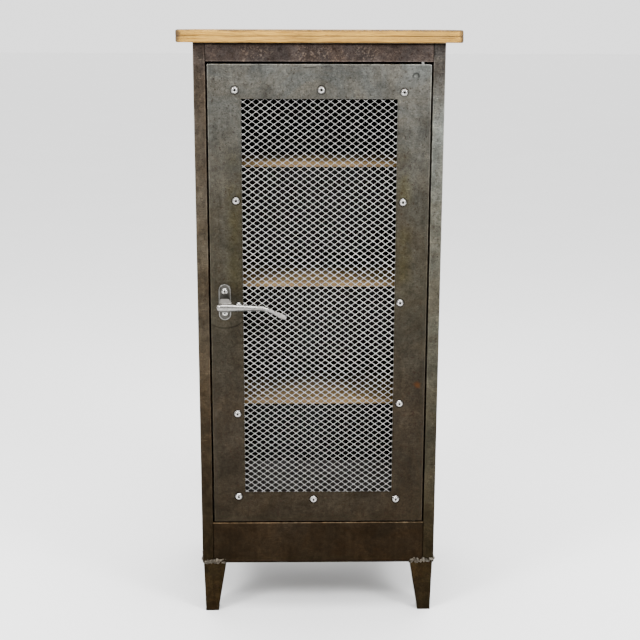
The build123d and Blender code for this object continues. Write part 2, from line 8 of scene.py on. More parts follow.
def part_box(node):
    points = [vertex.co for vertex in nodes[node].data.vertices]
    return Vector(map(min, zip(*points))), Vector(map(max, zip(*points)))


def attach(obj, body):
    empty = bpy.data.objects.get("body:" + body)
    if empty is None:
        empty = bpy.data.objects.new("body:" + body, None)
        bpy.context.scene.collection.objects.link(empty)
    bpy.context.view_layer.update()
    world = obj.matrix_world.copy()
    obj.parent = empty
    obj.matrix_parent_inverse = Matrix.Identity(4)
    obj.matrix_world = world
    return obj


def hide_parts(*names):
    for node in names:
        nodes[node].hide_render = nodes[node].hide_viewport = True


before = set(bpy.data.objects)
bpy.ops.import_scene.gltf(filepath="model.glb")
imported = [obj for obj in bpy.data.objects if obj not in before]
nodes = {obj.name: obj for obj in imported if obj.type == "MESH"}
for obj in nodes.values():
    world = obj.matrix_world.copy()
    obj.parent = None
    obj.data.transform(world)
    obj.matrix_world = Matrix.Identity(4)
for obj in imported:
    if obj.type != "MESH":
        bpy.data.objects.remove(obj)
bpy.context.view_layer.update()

# A steel locker cabinet with a mesh door and a wooden top. Metres, +Z up, the front faces -Y.

random.seed(7)
MM = 0.001


# ---- camera ----
camera_place = Vector((-0.0474, -2.72405, 1.2586))
camera_pitch = math.radians(13.188)
camera_yaw = math.radians(1.119)
camera_roll = math.radians(-0.16)
camera_lens = 70.335
camera_sensor = 36.0


def make_camera():
    """The viewpoint: in front of the cabinet, level with its top and looking down."""
    forward = Vector((math.sin(camera_yaw) * math.cos(camera_pitch),
                      math.cos(camera_yaw) * math.cos(camera_pitch),
                      -math.sin(camera_pitch)))
    level = forward.cross(Vector((0, 0, 1))).normalized()
    down = forward.cross(level).normalized()
    right = level * math.cos(camera_roll) + down * math.sin(camera_roll)
    up = right.cross(forward).normalized()
    data = bpy.data.cameras.new("camera")
    data.lens = camera_lens
    data.sensor_width = camera_sensor
    camera = bpy.data.objects.new("camera", data)
    camera.matrix_world = Matrix.LocRotScale(
        camera_place, Matrix((right, up, -forward)).transposed(), None)
    bpy.context.scene.collection.objects.link(camera)
    bpy.context.scene.camera = camera


make_camera()


# ---- a short way to write shader nodes ----
class Graph:
    """The shader nodes of one material. Every call adds a node and returns its output."""

    def __init__(self, name):
        self.material = bpy.data.materials.new(name)
        self.material.use_nodes = True
        self.tree = self.material.node_tree
        self.shader = self.tree.nodes["Principled BSDF"]
        self.place = self.tree.nodes.new("ShaderNodeTexCoord").outputs["Object"]
        split = self.tree.nodes.new("ShaderNodeSeparateXYZ")
        self.tree.links.new(self.place, split.inputs[0])
        self.x, self.y, self.z = split.outputs

    def feed(self, socket, value):
        """Links another node's output to a socket, or sets a plain value on it."""
        if isinstance(value, bpy.types.NodeSocket):
            self.tree.links.new(value, socket)
        else:
            socket.default_value = value

    def math(self, operation, *values, clamp=False):
        """One sum of outputs and plain numbers."""
        node = self.tree.nodes.new("ShaderNodeMath")
        node.operation = operation
        node.use_clamp = clamp
        for socket, value in zip(node.inputs, values):
            self.feed(socket, value)
        return node.outputs[0]

    def stretched(self, scale, shift=(0, 0, 0)):
        """The object's own coordinates, scaled along each axis."""
        node = self.tree.nodes.new("ShaderNodeMapping")
        self.feed(node.inputs["Vector"], self.place)
        node.inputs["Scale"].default_value = scale
        node.inputs["Location"].default_value = shift
        return node.outputs[0]

    def noise(self, scale, detail=3.0, rough=0.5, place=None, warp=0.0):
        """Cloudy noise around 0.5, with scale in waves per metre."""
        node = self.tree.nodes.new("ShaderNodeTexNoise")
        self.feed(node.inputs["Vector"], place or self.place)
        node.inputs["Scale"].default_value = scale
        node.inputs["Detail"].default_value = detail
        node.inputs["Roughness"].default_value = rough
        node.inputs["Distortion"].default_value = warp
        return node.outputs[0]

    def spread(self, value, low, high, to_low=0.0, to_high=1.0):
        """Maps low..high smoothly to to_low..to_high, and holds beyond both ends."""
        node = self.tree.nodes.new("ShaderNodeMapRange")
        node.interpolation_type = "SMOOTHSTEP"
        for socket, number in zip(node.inputs, (value, low, high, to_low, to_high)):
            self.feed(socket, number)
        return node.outputs[0]

    def ramp(self, value, stops):
        """A colour from stops of (value, colour)."""
        node = self.tree.nodes.new("ShaderNodeValToRGB")
        self.feed(node.inputs[0], value)
        elements = node.color_ramp.elements
        while len(elements) < len(stops):
            elements.new(0.5)
        for element, (position, colour) in zip(elements, stops):
            element.position = position
            element.color = (*colour, 1.0)
        return node.outputs[0]

    def mix(self, share, first, second):
        """The first colour where share is 0, the second where it is 1."""
        node = self.tree.nodes.new("ShaderNodeMix")
        node.data_type = "RGBA"
        self.feed(node.inputs["Factor"], share)
        for socket, colour in zip((node.inputs[6], node.inputs[7]), (first, second)):
            self.feed(socket, colour if isinstance(colour, bpy.types.NodeSocket)
                      else (*colour, 1.0))
        return node.outputs[2]

    def scaled(self, colour, factor):
        """A colour, brighter or darker by one factor."""
        node = self.tree.nodes.new("ShaderNodeVectorMath")
        node.operation = "SCALE"
        self.feed(node.inputs[0], colour)
        self.feed(node.inputs["Scale"], factor)
        return node.outputs[0]

    def tinted(self, colour, tint):
        """A colour times another, channel by channel."""
        node = self.tree.nodes.new("ShaderNodeVectorMath")
        node.operation = "MULTIPLY"
        self.feed(node.inputs[0], colour)
        self.feed(node.inputs[1], tint)
        return node.outputs[0]

    def product(self, *values):
        """All the values multiplied together."""
        total = values[0]
        for value in values[1:]:
            total = self.math("MULTIPLY", total, value)
        return total

    def line(self, value, at, width):
        """1 on the line value = at, falling to 0 at width from it."""
        away = self.math("ABSOLUTE", self.math("SUBTRACT", value, at))
        return self.spread(away, 0.0, width, 1.0, 0.0)

    def distance(self, x, z):
        """The distance from an upright line's point (x, z), seen from the front."""
        across = self.math("SUBTRACT", self.x, x)
        along = self.math("SUBTRACT", self.z, z)
        return self.math("SQRT", self.math("ADD", self.product(across, across),
                                           self.product(along, along)))

    def bump(self, *layers):
        """Each layer is (height, metres of relief)."""
        normal = None
        for height, relief in layers:
            node = self.tree.nodes.new("ShaderNodeBump")
            node.inputs["Distance"].default_value = relief
            self.feed(node.inputs["Height"], height)
            if normal is not None:
                self.feed(node.inputs["Normal"], normal)
            normal = node.outputs[0]
        self.feed(self.shader.inputs["Normal"], normal)

    def finish(self, colour, roughness, metallic, **uniform):
        """Feeds the shader and returns the material. uniform holds further plain values."""
        self.feed(self.shader.inputs["Base Color"], colour)
        self.feed(self.shader.inputs["Roughness"], roughness)
        self.feed(self.shader.inputs["Metallic"], metallic)
        for name, value in uniform.items():
            self.shader.inputs[name.replace("_", " ")].default_value = value
        return self.material


# ---- dark, unevenly oxidised steel, with painted shade towards the floor and painted highlights on its folds ----
shade_and_patina_height = 1.26
grey_tint = (0.945, 1.0, 0.985)
brown_tint = (1.13, 0.97, 0.74)
speck_tint = (1.04, 1.0, 0.90)
pit_colour = (0.020, 0.010, 0.007)
# near-black painted shade for the sheets' faces inside the body
inside_shade = (0.0040, 0.0035, 0.0030)


def toned(g, place, tones, gain):
    """The tone for this height above the floor, with uneven borders between the tones. The tones
    darken towards the floor as painted shade, and turn brown there as the steel's own oxide.
    """
    drift = g.noise(3.2, 2.0, place=place)
    height = g.math("MULTIPLY_ADD", drift, 0.20, g.math("SUBTRACT", g.z, 0.10))
    return g.scaled(g.ramp(g.math("DIVIDE", height, shade_and_patina_height), tones), gain)


def specked(g, place, colour, strength, shift):
    """Pale dots in patches, fewer low down, and small rusty pits; on the weld the pale dots are
    partly painted glints.
    """
    dots = g.spread(g.noise(260.0, 2.0, 0.6, place), 0.55, 0.64)
    patch = g.spread(g.noise(22.0, 4.0, 0.65, place), 0.46, 0.62)
    high_up = g.spread(g.z, 0.45, 1.1, 0.2, 1.0)
    dots = g.math("MULTIPLY", g.product(dots, patch, high_up), strength, clamp=True)
    colour = g.mix(dots, colour, g.tinted(g.scaled(colour, 2.3), speck_tint))
    pits = g.spread(g.noise(210.0, 2.0, 0.6, g.stretched((1, 1, 1), (9 + shift, 4, 2))),
                    0.60, 0.70)
    return g.mix(g.math("MULTIPLY", pits, 0.55), colour, pit_colour)


def scratched(g, cloud, colour, strength, shift):
    """Short level scratches: bright ones where the dark film is thin, and dark gouges."""
    dash = g.noise(1.0, 2.0, 0.4, g.stretched((70, 70, 520), (3 + shift, 0, 0)), 0.2)
    gouges = g.product(g.spread(dash, 0.28, 0.37, 1.0, 0.0), strength)
    bright = g.product(g.spread(dash, 0.64, 0.72), g.spread(cloud, 0.44, 0.56), strength)
    colour = g.mix(bright, colour, g.scaled(colour, 2.2))
    return g.mix(gouges, colour, g.scaled(colour, 0.45))


def edged(g, place, colour, lines):
    """Straight lines on a sheet: painted highlights along its folds, broken up in stretches, or
    evenly dark lines: painted shade under the board, and dark joints.
    """
    # patches that break the painted fold highlights into stretches
    patchy_highlight = g.spread(g.noise(75.0, 4.0, 0.7, place), 0.32, 0.6, 0.3, 1.0)
    for axis, at, width, brightness in lines:
        mask = g.line(getattr(g, axis), at, width)
        if brightness > 1:
            mask = g.product(mask, patchy_highlight)
        colour = g.mix(mask, colour, g.scaled(colour, brightness))
    return colour


def patina_and_painted_light(name, tones, gain=1.2, blotch=0.35, brown=0.5, streak=0.08, speckle=0.22, specks_and_glints=0.0,
           dashes=0.35, rough=(0.34, 0.52), metallic=1.0, lines=(), marks=None, inner=None,
           shift=0.0):
    """Dark steel, mostly grey near the top and brown near the floor, with painted shade making it
    darker towards the floor.

    tones are stops of (share of the height, colour), and gain scales them; their fall towards the
    floor is painted shade. blotch, streak and speckle say how far wide, upright and fine patches
    stray from the tone. specks_and_glints and dashes are the strength of pale dots and of level
    scratches; on the weld the pale dots are partly painted glints. lines hold (axis, place, width,
    brightness): painted highlights along folds where brightness is above 1, and painted shade
    under the board and dark joints where it is below 1.
    shift moves the patterns, so that no two sheets match."""
    g = Graph(name)
    place = g.stretched((1, 1, 1), (shift, shift * 0.7, shift * 1.3))
    cloud = g.noise(17.0, 8.0, 0.68, place, 0.8)
    wide = g.noise(6.0, 3.0, 0.5, place)
    mottle = g.noise(120.0, 4.0, 0.7, place, 0.6)
    runs = g.noise(1.0, 4.0, 0.6, g.stretched((110, 110, 7), (shift, 0, 0)))
    grain = g.noise(430.0, 2.0, 0.75, place)
    uneven = g.product(g.spread(cloud, 0.28, 0.72, 1 - blotch, 1 + blotch),
                       g.spread(wide, 0.3, 0.7, 1 - blotch * 0.5, 1 + blotch * 0.5),
                       g.spread(mottle, 0.3, 0.7, 1 - speckle, 1 + speckle),
                       g.spread(runs, 0.3, 0.7, 1 - streak, 1 + streak),
                       g.spread(grain, 0.25, 0.75, 1 - speckle, 1 + speckle))
    colour = g.scaled(toned(g, place, tones, gain), uneven)
    hue = g.spread(g.noise(7.5, 5.0, 0.7, place, 1.4), 0.38, 0.66)
    colour = g.mix(g.math("MULTIPLY", hue, brown), g.tinted(colour, grey_tint),
                   g.tinted(colour, brown_tint))
    if specks_and_glints:
        colour = specked(g, place, colour, specks_and_glints, shift)
    colour = edged(g, place, scratched(g, cloud, colour, dashes, shift), lines)
    if marks:
        colour = marks(g, colour)
    # painted shade: the sheet's faces inside the body go near-black
    if inner:
        colour = g.mix(inner(g), colour, inside_shade)
    sheen = g.noise(15.0, 5.0, 0.6, place, 0.4)
    roughness = g.math("ADD", g.spread(sheen, 0.3, 0.7, *rough), g.math("MULTIPLY", grain, 0.06))
    dent = g.noise(8.0, 2.0, 0.5, place)
    g.bump((dent, 0.0014), (cloud, 0.0006), (grain, 0.00010))
    return g.finish(colour, roughness, metallic)


door_low, door_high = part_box("door_panel")
stile_low, stile_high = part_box("left_stile")
right_stile_low, right_stile_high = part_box("right_stile")
sill_low, sill_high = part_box("bottom_rail")
lintel_low, lintel_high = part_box("top_rail")
side_low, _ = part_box("left_side_panel")
_, right_side_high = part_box("right_side_panel")
_, back_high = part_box("back_panel")
plate_low, plate_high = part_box("handle_plate")
handle_x, handle_z = (plate_low.x + plate_high.x) / 2, (plate_low.z + plate_high.z) / 2

# Tone stops by height: their fall towards the floor is painted shade. The stiles' stops also
# darken again near the top.
door_tones = [(0.00, (0.014, 0.010, 0.006)), (0.20, (0.020, 0.015, 0.010)),
              (0.38, (0.028, 0.022, 0.016)), (0.55, (0.036, 0.031, 0.023)),
              (0.72, (0.049, 0.043, 0.034)), (0.86, (0.076, 0.071, 0.063)),
              (1.00, (0.132, 0.130, 0.124))]
left_stile_tones = [(0.00, (0.011, 0.007, 0.003)), (0.14, (0.016, 0.011, 0.006)),
                    (0.32, (0.030, 0.021, 0.013)), (0.50, (0.050, 0.037, 0.025)),
                    (0.68, (0.074, 0.059, 0.043)), (0.88, (0.074, 0.057, 0.044)),
                    (1.00, (0.062, 0.046, 0.042))]
right_stile_tones = [(0.00, (0.010, 0.008, 0.004)), (0.14, (0.018, 0.013, 0.007)),
                     (0.32, (0.034, 0.029, 0.020)), (0.50, (0.062, 0.055, 0.042)),
                     (0.68, (0.100, 0.093, 0.077)), (0.86, (0.158, 0.156, 0.142)),
                     (0.91, (0.096, 0.088, 0.080)), (0.96, (0.048, 0.041, 0.039))]
rail_tones = [(0.00, (0.017, 0.010, 0.005)), (0.16, (0.018, 0.012, 0.007)),
              (0.90, (0.058, 0.044, 0.040)), (1.00, (0.060, 0.046, 0.042))]
panel_tones = [(0.00, (0.010, 0.007, 0.003)), (0.20, (0.018, 0.012, 0.006)),
               (0.50, (0.036, 0.028, 0.018)), (0.80, (0.058, 0.048, 0.036)),
               (1.00, (0.064, 0.053, 0.044))]


def clusters(node, reach):
    """The places of the separate copies in a CAD node, each as its lowest and highest corner."""
    groups = []
    for vertex in nodes[node].data.vertices:
        point = vertex.co
        for group in groups:
            if (group[0] - point).length < reach:
                group.append(point)
                break
        else:
            groups.append([point])
    return [(Vector(map(min, *group)), Vector(map(max, *group))) for group in groups]


def assign(names, material):
    """Gives CAD nodes a material in place of the one they came with."""
    for name in names:
        slots = nodes[name].material_slots
        if slots:
            for entry in slots:
                entry.material = material
        else:
            nodes[name].data.materials.append(material)


screw_gap = 30 * MM
screw_places = [((low.x + high.x) / 2, (low.z + high.z) / 2)
                for low, high in clusters("mesh_screws", screw_gap)]

# single marks on the door, as (x, z) places seen from the front
curl_place, curl_radius, curl_width = (0.194, 1.163), 9.2 * MM, 4.0 * MM
handle_arc_radius, handle_arc_width = 56 * MM, 2.6 * MM
nick_height, nick_width = 1.180, 1.5 * MM
screw_shade_radius, screw_shade_width = 8.2 * MM, 2.6 * MM
stain_from_middle, stain_width, stain_tint = 0.174, 0.026, (1.07, 1.03, 0.78)
rust_place, rust_colour = (0.209, 0.519), (0.055, 0.022, 0.008)


def door_marks(g, colour):
    """A curl, a nick, a dark arc round the handle, painted shade in a ring round each screw,
    stains and a rust spot.
    """
    wobble = g.math("MULTIPLY", g.noise(60.0, 2.0), 0.006)
    curl = g.line(g.math("ADD", g.distance(*curl_place), wobble), curl_radius, curl_width)
    curl = g.product(curl, g.spread(g.z, 1.156, 1.162))
    # a dark arc centred on the handle
    handle_arc = g.product(g.line(g.distance(handle_x, handle_z), handle_arc_radius, handle_arc_width),
                      g.spread(g.z, 0.655, 0.665, 1.0, 0.0), 0.75)
    nick = g.product(g.line(g.z, nick_height, nick_width), g.spread(g.x, -0.036, -0.030),
                     g.spread(g.x, -0.010, -0.004, 1.0, 0.0))
    dark = g.math("MAXIMUM", curl, g.math("MAXIMUM", handle_arc, nick))
    stain = g.product(g.line(g.math("ABSOLUTE", g.x), stain_from_middle, stain_width),
                      g.spread(g.z, 0.66, 0.76), g.spread(g.z, 0.94, 1.04, 1.0, 0.0),
                      g.spread(g.noise(11.0, 4.0, 0.6), 0.38, 0.58))
    colour = g.mix(stain, colour, g.tinted(colour, stain_tint))
    # painted shade: a dark ring round each screw head
    for x, z in screw_places:
        screw_shade = g.line(g.distance(x, z), screw_shade_radius, screw_shade_width)
        dark = g.math("MAXIMUM", dark, screw_shade)
    colour = g.mix(g.math("MULTIPLY", dark, 0.85), colour, g.scaled(colour, 0.22))
    ragged = g.math("ADD", g.distance(*rust_place), g.math("MULTIPLY", g.noise(120.0), 0.012))
    rust = g.spread(ragged, 0.008, 0.016, 1.0, 0.0)
    return g.mix(g.math("MULTIPLY", rust, 0.8), colour, rust_colour)


# Lines on the sheets: the bright ones are painted highlights along the folds; the dark ones at the
# top are painted shade beneath the board's overhang; butt_joint ones are dark joints.
edge = 2.6 * MM
shade_depth = 6.5 * MM
under_board, butt_joint = 0.05, 0.35     # how dark the shade and the joints are
assign(["door_panel"], patina_and_painted_light(
    "door_patina_and_painted_light", door_tones, gain=0.98, blotch=0.24, brown=0.35, speckle=0.2, specks_and_glints=0.3,
    marks=door_marks, shift=1.7,
    lines=[("x", door_low.x, edge, 3.0), ("x", door_high.x, edge, 3.4),
           ("z", door_high.z, edge, 3.6), ("z", door_low.z, edge, 2.0)]))
assign(["left_stile"], patina_and_painted_light(
    "left_stile_patina_and_painted_light", left_stile_tones, gain=0.84, blotch=0.34, brown=0.35, speckle=0.26,
    specks_and_glints=0.45, dashes=0.8, shift=4.1,
    lines=[("x", stile_high.x, edge, 2.6), ("x", stile_low.x, edge, 2.0),
           ("z", stile_high.z, shade_depth, under_board)]))
assign(["right_stile"], patina_and_painted_light(
    "right_stile_patina_and_painted_light", right_stile_tones, gain=0.92, blotch=0.32, brown=0.35, streak=0.10,
    speckle=0.26, specks_and_glints=0.5, dashes=0.8, shift=8.3,
    lines=[("x", right_stile_low.x, edge, 2.2), ("x", right_stile_high.x, edge, 2.0),
           ("z", right_stile_high.z, shade_depth, under_board)]))
assign(["top_rail"], patina_and_painted_light(
    "top_rail_patina_and_painted_light", rail_tones, gain=1.04, blotch=0.30, brown=0.45, streak=0.06, speckle=0.28,
    specks_and_glints=1.0, shift=2.9,
    lines=[("z", lintel_low.z, edge, 2.0), ("z", lintel_high.z, shade_depth, under_board),
           ("x", lintel_low.x, edge, butt_joint), ("x", lintel_high.x, edge, butt_joint)]))
assign(["bottom_rail"], patina_and_painted_light(
    "bottom_rail_patina_and_painted_light", rail_tones, gain=0.76, blotch=0.28, brown=0.55, streak=0.10,
    speckle=0.2, shift=6.2,
    lines=[("z", sill_high.z, edge, 9.0), ("x", sill_low.x, edge, butt_joint),
           ("x", sill_high.x, edge, butt_joint)]))


def inside_sheet(axis, low, high):
    """1 between two planes inside the body: the inner face of a sheet, painted near-black as
    shade.
    """
    def mask(g):
        value = getattr(g, axis)
        return g.product(g.math("GREATER_THAN", value, low), g.math("LESS_THAN", value, high))
    return mask


half_sheet = 0.8 * MM
far_forward = -1.0
assign(["left_side_panel", "right_side_panel"], patina_and_painted_light(
    "side_patina_and_painted_light", panel_tones, gain=0.8, blotch=0.36, brown=0.6, streak=0.12, speckle=0.26,
    specks_and_glints=0.3, shift=11.0, lines=[("z", side_low.z, edge, 1.8)],
    inner=inside_sheet("x", side_low.x + half_sheet, right_side_high.x - half_sheet)))
assign(["back_panel"], patina_and_painted_light(
    "back_patina_and_painted_light", panel_tones, gain=0.8, blotch=0.36, brown=0.6, streak=0.14, speckle=0.26,
    specks_and_glints=0.3, shift=13.0, inner=inside_sheet("y", far_forward, back_high.y - half_sheet)))
assign(["left_rear_post", "right_rear_post", "floor_panel", "door_stop_tabs",
        "runner_upper_left", "runner_upper_right", "runner_middle_left", "runner_middle_right",
        "runner_lower_left", "runner_lower_right"], patina_and_painted_light(
    "inner_patina", [(0.0, (0.008, 0.007, 0.006)), (1.0, (0.012, 0.011, 0.010))],
    blotch=0.4, speckle=0.3, rough=(0.75, 0.9), metallic=0.3, shift=15.0))
assign(["base_panel", "top_panel"], patina_and_painted_light(
    "base_patina_and_painted_light", panel_tones, blotch=0.4, brown=0.6, speckle=0.3, specks_and_glints=0.4, shift=17.0))
leg_tones = [(0.00, (0.012, 0.008, 0.004)), (0.10, (0.014, 0.009, 0.004)),
             (1.00, (0.014, 0.009, 0.004))]
assign(["front_left_leg", "front_right_leg", "rear_left_leg", "rear_right_leg", "foot_caps"],
       patina_and_painted_light("leg_patina", leg_tones, blotch=0.40, brown=0.6, streak=0.12, speckle=0.3,
              specks_and_glints=0.15, dashes=0.2, shift=19.0))
assign(["left_clamp_bar", "right_clamp_bar", "top_clamp_bar", "bottom_clamp_bar",
        "spindle_bush", "upper_pivot_bush", "lower_pivot_bush"], patina_and_painted_light(
    "clamp_patina", [(0.0, (0.05, 0.045, 0.038)), (1.0, (0.10, 0.09, 0.08))],
    blotch=0.3, speckle=0.2, specks_and_glints=0.2, shift=21.0))


# ---- bright metals ----
pit_dirt = (0.05, 0.045, 0.04)
cast_light, cast_dark = (0.25, 0.238, 0.218), (0.10, 0.094, 0.084)


def bright_metal(name, colour, dull, rough, pits=0.25, cast=None):
    """Plated or bare bright metal, dulled in patches and finely pitted.

    cast, if given, masks the part left rough as cast; the rest then carries painted shade, darker
    on the faces that look down."""
    g = Graph(name)
    cloud = g.noise(70.0, 5.0, 0.6, warp=0.4)
    fine = g.noise(900.0, 2.0, 0.6)
    shade = g.mix(g.math("MULTIPLY", g.spread(cloud, 0.42, 0.72), 0.6), colour, dull)
    pit = g.spread(g.noise(330.0, 2.0, 0.7), 0.62, 0.72)
    shade = g.mix(g.math("MULTIPLY", pit, pits), shade, pit_dirt)
    roughness = g.math("ADD", g.spread(cloud, 0.35, 0.7, *rough), g.math("MULTIPLY", fine, 0.05))
    metallic = 1.0
    if cast:
        # painted shade: darker on the faces that look down
        facing = g.tree.nodes.new("ShaderNodeSeparateXYZ")
        g.feed(facing.inputs[0], g.tree.nodes["Texture Coordinate"].outputs["Normal"])
        shade = g.scaled(shade, g.spread(facing.outputs["Z"], -0.7, 0.35, 0.22, 1.0))
        raw = cast(g)
        shade = g.mix(raw, shade, g.mix(g.noise(300.0, 3.0, 0.7), cast_light, cast_dark))
        roughness = g.math("MULTIPLY_ADD", raw, 0.35, roughness)
        metallic = g.spread(raw, 0.0, 1.0, 1.0, 0.25)
    g.bump((g.noise(180.0, 2.0), 0.00006), (fine, 0.00002))
    return g.finish(shade, roughness, metallic)


def behind_arm(g):
    """1 on the lever's neck, from the plate to just behind the arm."""
    low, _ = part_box("lever_handle")
    return g.spread(g.y, low.y + 13 * MM, low.y + 17 * MM)


zinc = bright_metal("bright_zinc", (0.50, 0.49, 0.47), (0.26, 0.25, 0.235), (0.16, 0.30))
nickel = bright_metal("worn_nickel", (0.36, 0.350, 0.330), (0.18, 0.170, 0.155), (0.18, 0.34),
                      pits=0.35, cast=behind_arm)
socket_shade = bright_metal("socket_shade", (0.035, 0.033, 0.030), (0.02, 0.018, 0.016),
                            (0.5, 0.7))
strand = bright_metal("bright_strand", (0.29, 0.287, 0.278), (0.21, 0.207, 0.199), (0.26, 0.40),
                      pits=0.1)


plate_rim_rise = 0.5 * MM
plate_rim_highlight = (0.24, 0.235, 0.22)


def plate_metal():
    """Dull nickel, with a painted highlight along the plate's raised rim, broken in patches."""
    g = Graph("dull_nickel")
    cloud = g.noise(70.0, 5.0, 0.6, warp=0.4)
    shade = g.mix(g.spread(cloud, 0.35, 0.7), (0.070, 0.067, 0.060), (0.034, 0.032, 0.028))
    # painted highlight on the raised rim
    rim = g.spread(g.y, plate_low.y + plate_rim_rise, plate_low.y, 0.0, 1.0)
    rim_highlight = g.product(rim, g.spread(cloud, 0.3, 0.6, 1.0, 0.6))
    shade = g.mix(rim_highlight, shade, plate_rim_highlight)
    g.bump((g.noise(180.0, 2.0), 0.00006), (g.noise(900.0, 2.0, 0.6), 0.00002))
    return g.finish(shade, g.spread(cloud, 0.35, 0.7, 0.28, 0.46), 1.0)


plate_nickel = plate_metal()
assign(["mesh_nuts", "handle_plate_nuts", "back_rivets", "top_screws", "shelf_screws",
        "upper_pivot_pin", "tongue_nut", "latch_tongue", "spindle"], zinc)
assign(["lower_pivot_pin", "thrust_washer"], patina_and_painted_light(
    "grimy_steel", [(0.0, (0.010, 0.008, 0.006)), (1.0, (0.014, 0.012, 0.010))], shift=23.0))


# ---- wood ----
board_low, board_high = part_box("top_board_upper")
seam_z = board_low.z
grime = (0.030, 0.018, 0.010)
plank_origin, plank_shift = 1.013, 3.7
board_dirt = 0.85
front_edge = -0.19       # the board's dirt lines stay in front of this
shelf_front, shelf_back = -0.14, 0.08     # the shelves' painted shade deepens between these


def grubby_edges(g):
    """1 where the top's board is dirty: at its ends, along its front edges and in its seam."""
    ragged = g.math("MULTIPLY", g.noise(60.0, 5.0, 0.75), 0.030)
    reach = g.math("ADD", g.math("ABSOLUTE", g.x), ragged)
    near_end = g.spread(reach, board_high.x + 1 * MM, board_high.x + 12 * MM)
    top_line = g.line(g.z, board_high.z - 1.2 * MM, 4.2 * MM)
    low_line = g.math("MULTIPLY", g.line(g.z, 2 * seam_z - board_high.z, 2.2 * MM), 0.6)
    seam_line = g.math("MULTIPLY", g.line(g.z, seam_z, 1.9 * MM), 0.8)
    front = g.spread(g.y, front_edge, front_edge + 10 * MM, 1.0, 0.15)
    patchy = g.spread(g.noise(9.0, 4.0, 0.7), 0.38, 0.56, 0.3, 1.0)
    rim = g.math("MAXIMUM", top_line, g.math("MAXIMUM", low_line, seam_line))
    return g.math("MAXIMUM", near_end, g.product(rim, patchy, front))


def top_stains(g, colour):
    """The board's upper face, darkened and stained by what stood on it."""
    on_top = g.math("GREATER_THAN", g.z, board_high.z - 0.6 * MM)
    stains = g.spread(g.noise(5.0, 6.0, 0.65, warp=0.6), 0.35, 0.68, 0.72, 0.42)
    return g.mix(on_top, colour, g.scaled(colour, stains))


def shelf_shade(g):
    """Painted shade on the shelves: how much they keep of their tone, less at the back and towards
    the sides.
    """
    deep = g.spread(g.y, shelf_front, shelf_back, 1.0, 0.05)
    inward = g.math("MULTIPLY_ADD", g.y, 0.75, g.math("ABSOLUTE", g.x))
    return g.product(deep, g.spread(inward, 0.0, 0.10, 1.0, 0.40))


def timber(name, light, dark, planks, sheen, on_show):
    """Planks along X, each this deep, with long grain and pores. on_show is the top's board, with
    its dirt and stains; otherwise it is a shelf, with painted shade at the back and sides."""
    g = Graph(name)
    plank = g.math("FLOOR", g.math("DIVIDE", g.math("ADD", g.y, plank_origin), planks))
    offset = g.math("MULTIPLY", plank, plank_shift)
    along = g.tree.nodes.new("ShaderNodeCombineXYZ")
    g.feed(along.inputs[0], g.math("ADD", g.math("MULTIPLY", g.x, 2.6), offset))
    g.feed(along.inputs[1], g.math("MULTIPLY", g.y, 30.0))
    g.feed(along.inputs[2], g.math("MULTIPLY", g.z, 110.0))
    along = along.outputs[0]
    figure = g.noise(1.3, 5.0, 0.6, along, 1.1)
    rings = g.math("FRACT", g.math("MULTIPLY", figure, 7.0))
    rings = g.spread(g.math("ABSOLUTE", g.math("SUBTRACT", rings, 0.5)), 0.1, 0.5)
    fibre = g.noise(8.0, 5.0, 0.75, along)
    tone = g.math("MULTIPLY_ADD", rings, 0.40, g.math("MULTIPLY", fibre, 0.7))
    colour = g.mix(g.spread(tone, 0.2, 0.85), light, dark)
    patch = g.spread(g.noise(7.0, 3.0, 0.6), 0.34, 0.66, 0.80, 1.18)
    each = g.math("MULTIPLY_ADD", g.math("FRACT", g.math("MULTIPLY", offset, 0.37)), 0.2, 0.9)
    colour = g.scaled(colour, g.product(patch, each))
    pores = g.spread(g.noise(1.0, 2.0, 0.5, g.stretched((70, 900, 900))), 0.60, 0.70)
    colour = g.mix(g.math("MULTIPLY", pores, 0.5), colour, g.scaled(colour, 0.45))
    if on_show:
        colour = top_stains(g, colour)
        colour = g.mix(g.math("MULTIPLY", grubby_edges(g), board_dirt), colour, grime)
    else:
        # painted shade on the shelves, deeper at the back and sides
        colour = g.scaled(colour, shelf_shade(g))
    roughness = g.spread(fibre, 0.3, 0.7, 0.42, 0.62)
    g.bump((rings, 0.00012), (pores, -0.0002), (fibre, 0.00008))
    return g.finish(colour, roughness, 0.0, Specular_IOR_Level=sheen)


top_wood = timber("top_wood", (0.455, 0.248, 0.034), (0.220, 0.104, 0.010), 86 * MM, 0.25, True)
shelf_wood = timber("shelf_wood", (0.125, 0.080, 0.034), (0.070, 0.043, 0.017), 120 * MM, 0.0,
                    False)
assign(["shelf_upper", "shelf_middle", "shelf_lower"], shelf_wood)


# ---- ways to make a mesh ----
def new_piece(name, points, faces, material, body, slot, smooth=True):
    """A mesh object in the shared frame that moves with a body."""
    data = bpy.data.meshes.new(name)
    data.from_pydata(points, [], faces)
    data.update()
    if smooth:
        data.shade_smooth()
    data.materials.append(material)
    piece = bpy.data.objects.new(name, data)
    bpy.context.scene.collection.objects.link(piece)
    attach(piece, body)
    return piece


def tube_faces(levels, count, turned_over=False):
    """The faces over levels closed rings of count points each, with a cap on either end."""
    faces = []
    for level in range(levels - 1):
        a, b = level * count, (level + 1) * count
        for i in range(count):
            j = (i + 1) % count
            faces.append((a + i, b + i, b + j, a + j) if turned_over
                         else (a + i, a + j, b + j, b + i))
    first, last = range(count), range((levels - 1) * count, levels * count)
    if turned_over:
        return faces + [tuple(first), tuple(reversed(last))]
    return faces + [tuple(reversed(first)), tuple(last)]


def joined(parts):
    """Several (points, faces) as one."""
    points, faces = [], []
    for more_points, more_faces in parts:
        start = len(points)
        points += more_points
        faces += [tuple(start + k for k in face) for face in more_faces]
    return points, faces


